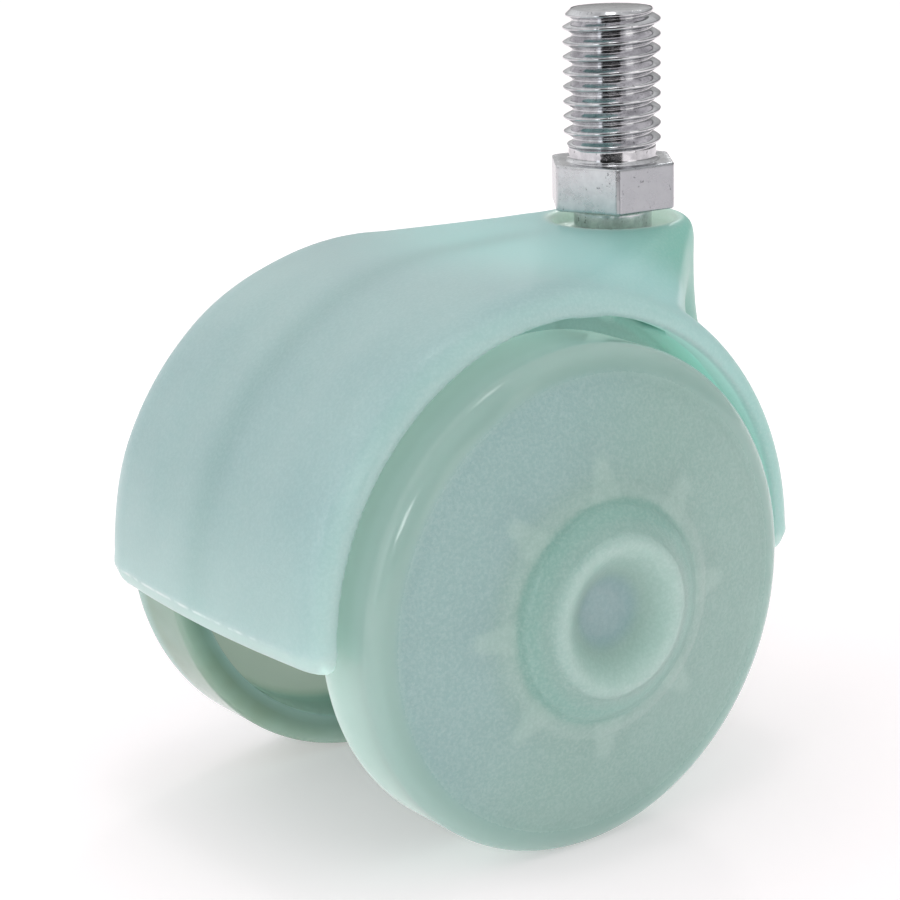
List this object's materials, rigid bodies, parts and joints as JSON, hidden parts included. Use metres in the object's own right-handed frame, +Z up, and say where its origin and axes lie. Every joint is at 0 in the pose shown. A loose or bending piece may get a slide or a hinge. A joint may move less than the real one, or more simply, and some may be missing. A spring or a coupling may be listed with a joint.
{
  "type": "swivel castor",
  "caption": "Twin-wheel swivel castor with a translucent hood and wheels, and a plated stem with a hexagon and a thread.",
  "frame": {"origin": "on the stem's axis at the lower end of its thread, 1.4 mm above the hexagon that seats against the furniture", "axes": "+Z up along the thread, the wheels trail towards -X, the wheel axle is parallel to Y"},
  "size_m": [0.0612, 0.0546, 0.0775],
  "materials": {
    "plated_steel": "bright zinc plate, lightly marked on the hexagon",
    "spring_steel": "plain spring steel",
    "hood_plastic": "translucent, finely frosted, pale aqua",
    "axle_steel": "drawn steel",
    "wheel_plastic": "translucent sea green, smooth tread, frosted face"
  },
  "bodies": {
    "stem": {"stem": "plated_steel", "retaining_ring": "spring_steel"},
    "housing": {"housing": "hood_plastic", "axle": "axle_steel"},
    "wheel_left": {"wheel_left": "wheel_plastic"},
    "wheel_right": {"wheel_right": "wheel_plastic"}
  },
  "joints": [
    {"name": "swivel", "type": "hinge", "parent": "stem", "child": "housing", "pos_m": [0, 0, -0.02], "axis": [0, 0, 1], "continuous": true},
    {"name": "wheel_left_spin", "type": "hinge", "parent": "housing", "child": "wheel_left", "pos_m": [-0.0218, 0.018, -0.0386], "axis": [0, 1, 0], "continuous": true},
    {"name": "wheel_right_spin", "type": "hinge", "parent": "housing", "child": "wheel_right", "pos_m": [-0.0218, -0.018, -0.0386], "axis": [0, 1, 0], "continuous": true}
  ]
}
